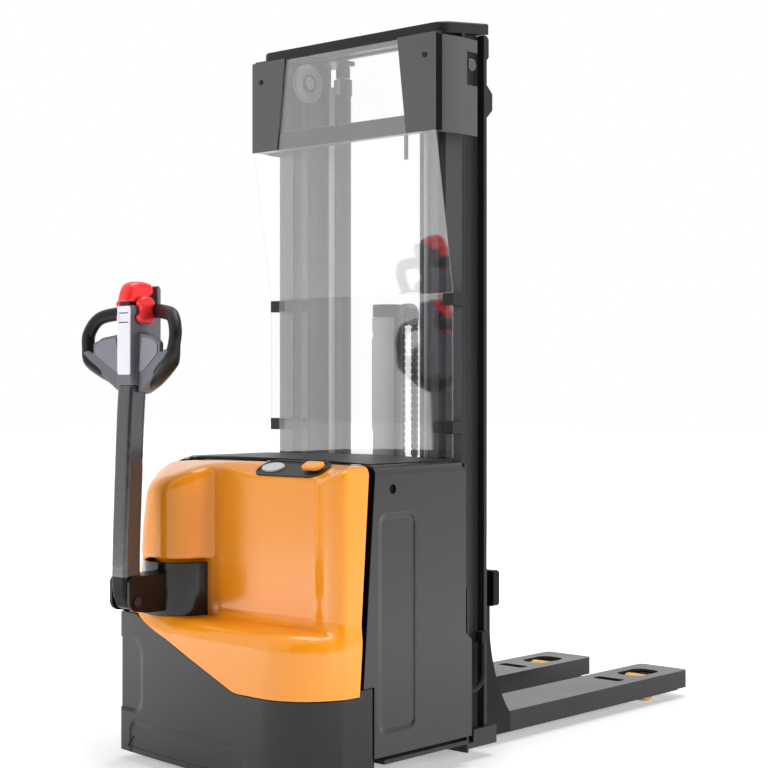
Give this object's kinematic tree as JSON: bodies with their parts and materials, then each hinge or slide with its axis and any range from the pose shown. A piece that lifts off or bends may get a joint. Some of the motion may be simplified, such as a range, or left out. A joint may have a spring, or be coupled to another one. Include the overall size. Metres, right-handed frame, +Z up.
{
  "type": "pedestrian pallet stacker with initial lift",
  "caption": "Walk-behind electric pallet stacker: orange hood over a grey drive section, side tiller, two-stage mast with clear guard, forks over rising support legs.",
  "frame": {"origin": "on the floor under the middle of the truck's overall box", "axes": "+X to the truck's right, +Y towards the fork tips, +Z up"},
  "size_m": [0.8181, 1.9987, 2.03],
  "materials": {
    "hood_orange": "satin moulded",
    "skirt_grey": "fine texture",
    "frame_black": "satin",
    "header_grey": "satin",
    "cap_black": "satin",
    "guard_clear": "clear sheet",
    "fork_grey": "satin",
    "leg_grey": "satin",
    "battery_grey": "moulded",
    "motor_grey": "cast",
    "drum_black": "gloss",
    "tiller_grey": "moulded",
    "control_red": "gloss",
    "stop_orange": "gloss",
    "lens_silver": "gloss",
    "wheel_rubber": "matte",
    "wheel_amber": "cast urethane",
    "rod_chrome": "ground",
    "chain_steel": "oiled",
    "hose_rubber": "matte"
  },
  "bodies": {
    "drive_chassis": {"chassis_frame": "frame_black", "skirt": "skirt_grey", "hood": "hood_orange", "control_panel": "cap_black", "display_lens": "lens_silver", "initial_lift_cylinder": "frame_black", "hydraulic_unit": "cap_black"},
    "steering": {"drive_unit": "frame_black", "drive_motor": "motor_grey", "steering_drum": "drum_black", "tiller_bracket": "frame_black", "tiller_pin": "rod_chrome"},
    "drive_wheel": {"drive_wheel": "wheel_rubber"},
    "tiller": {"tiller_arm": "tiller_grey", "tiller_head": "tiller_grey", "tiller_bows": "drum_black"},
    "belly_button": {"belly_button": "control_red"},
    "throttle": {"throttle": "control_red"},
    "lift_rocker": {"lift_rocker": "tiller_grey"},
    "stop_button": {"stop_button": "stop_orange"},
    "caster": {"caster_fork": "frame_black"},
    "caster_wheel": {"caster_wheel": "wheel_rubber"},
    "lift_frame": {"base_frame": "frame_black", "battery": "battery_grey", "side_panel_left": "skirt_grey", "side_panel_right": "skirt_grey", "top_cover": "cap_black", "outer_rail_left": "frame_black", "outer_rail_right": "frame_black", "header_lower_bar": "frame_black", "header_upper_bar": "frame_black", "support_leg_left": "leg_grey", "support_leg_right": "leg_grey", "lift_cylinder_left": "frame_black", "lift_cylinder_right": "frame_black", "header_plate_left": "header_grey", "header_plate_right": "header_grey", "mast_cap": "cap_black", "guard": "guard_clear", "foot_hose": "hose_rubber", "initial_lift_rod": "rod_chrome"},
    "load_arm_left": {"load_arm_left": "leg_grey"},
    "load_arm_right": {"load_arm_right": "leg_grey"},
    "load_wheel_left": {"load_wheel_left": "wheel_amber"},
    "load_wheel_right": {"load_wheel_right": "wheel_amber"},
    "inner_mast": {"inner_rail_left": "frame_black", "inner_rail_right": "frame_black", "inner_top_tie": "frame_black", "inner_foot_tie": "frame_black", "free_lift_cylinder": "frame_black", "lift_rod_left": "rod_chrome", "lift_rod_right": "rod_chrome", "chain_rear": "chain_steel"},
    "hose_pulley": {"hose_pulley": "tiller_grey"},
    "crosshead": {"crosshead": "frame_black", "chain_front": "chain_steel"},
    "chain_sheave": {"chain_sheave": "chain_steel"},
    "carriage": {"carriage_frame": "frame_black", "fork_left": "fork_grey", "fork_right": "fork_grey"}
  },
  "joints": [
    {"name": "steer", "type": "hinge", "parent": "drive_chassis", "child": "steering", "pos_m": [-0.225, -0.76, 0.3], "axis": [0, 0, 1], "range_deg": [-58, 58]},
    {"name": "drive_roll", "type": "hinge", "parent": "steering", "child": "drive_wheel", "pos_m": [-0.225, -0.76, 0.105], "axis": [1, 0, 0], "continuous": true},
    {"name": "tiller_tilt", "type": "hinge", "parent": "steering", "child": "tiller", "pos_m": [-0.225, -0.962, 0.458], "axis": [1, 0, 0], "range_deg": [0, 75], "stiffness_Nm_per_rad": 30, "springref_deg": -20.05},
    {"name": "belly_press", "type": "slide", "parent": "tiller", "child": "belly_button", "axis": [0, 0, -1], "range_m": [0, 0.008], "stiffness_N_per_m": 900},
    {"name": "throttle_turn", "type": "hinge", "parent": "tiller", "child": "throttle", "pos_m": [-0.225, -0.934, 1.228], "axis": [1, 0, 0], "range_deg": [-30, 30], "stiffness_Nm_per_rad": 0.8},
    {"name": "lift_rock", "type": "hinge", "parent": "tiller", "child": "lift_rocker", "pos_m": [-0.225, -0.968, 1.209], "axis": [1, 0, 0], "range_deg": [-6, 6], "stiffness_Nm_per_rad": 0.6},
    {"name": "stop_press", "type": "slide", "parent": "drive_chassis", "child": "stop_button", "axis": [0, 0.4555, -0.8902], "range_m": [0, 0.005], "stiffness_N_per_m": 1500},
    {"name": "caster_swivel", "type": "hinge", "parent": "drive_chassis", "child": "caster", "pos_m": [0.27, -0.793, 0.2], "axis": [0, 0, 1], "continuous": true},
    {"name": "caster_roll", "type": "hinge", "parent": "caster", "child": "caster_wheel", "pos_m": [0.27, -0.825, 0.065], "axis": [1, 0, 0], "continuous": true},
    {"name": "initial_lift", "type": "slide", "parent": "drive_chassis", "child": "lift_frame", "axis": [0, 0, 1], "range_m": [0, 0.12]},
    {"name": "load_arm_left_swing", "type": "hinge", "parent": "lift_frame", "child": "load_arm_left", "pos_m": [-0.193, 0.654, 0.05], "axis": [-1, 0, 0], "range_deg": [0, 42.8]},
    {"name": "load_arm_right_swing", "type": "hinge", "parent": "lift_frame", "child": "load_arm_right", "pos_m": [0.193, 0.654, 0.05], "axis": [-1, 0, 0], "range_deg": [0, 42.8]},
    {"name": "load_left_roll", "type": "hinge", "parent": "load_arm_left", "child": "load_wheel_left", "pos_m": [-0.193, 0.834, 0.042], "axis": [1, 0, 0], "continuous": true},
    {"name": "load_right_roll", "type": "hinge", "parent": "load_arm_right", "child": "load_wheel_right", "pos_m": [0.193, 0.834, 0.042], "axis": [1, 0, 0], "continuous": true},
    {"name": "mast_lift", "type": "slide", "parent": "lift_frame", "child": "inner_mast", "axis": [0, 0, 1], "range_m": [0, 1.4]},
    {"name": "hose_pulley_turn", "type": "hinge", "parent": "inner_mast", "child": "hose_pulley", "pos_m": [-0.226, -0.279, 1.92], "axis": [1, 0, 0], "continuous": true},
    {"name": "carriage_lift", "type": "slide", "parent": "inner_mast", "child": "carriage", "axis": [0, 0, 1], "range_m": [0, 1.35], "deforming": ["chain_front"]},
    {"name": "crosshead_lift", "type": "slide", "parent": "inner_mast", "child": "crosshead", "axis": [0, 0, 1], "range_m": [0, 0.676], "deforming": ["chain_rear"]},
    {"name": "chain_sheave_turn", "type": "hinge", "parent": "crosshead", "child": "chain_sheave", "pos_m": [0.018, -0.108, 1.236], "axis": [1, 0, 0], "continuous": true}
  ],
  "couplings": [
    {"joint": "load_arm_left_swing", "follows": "initial_lift", "rad_per_m": 6.214},
    {"joint": "load_arm_right_swing", "follows": "initial_lift", "rad_per_m": 6.214},
    {"joint": "hose_pulley_turn", "follows": "mast_lift", "rad_per_m": 20.4},
    {"joint": "crosshead_lift", "follows": "carriage_lift", "ratio": 0.5},
    {"joint": "chain_sheave_turn", "follows": "carriage_lift", "rad_per_m": 17.36}
  ]
}
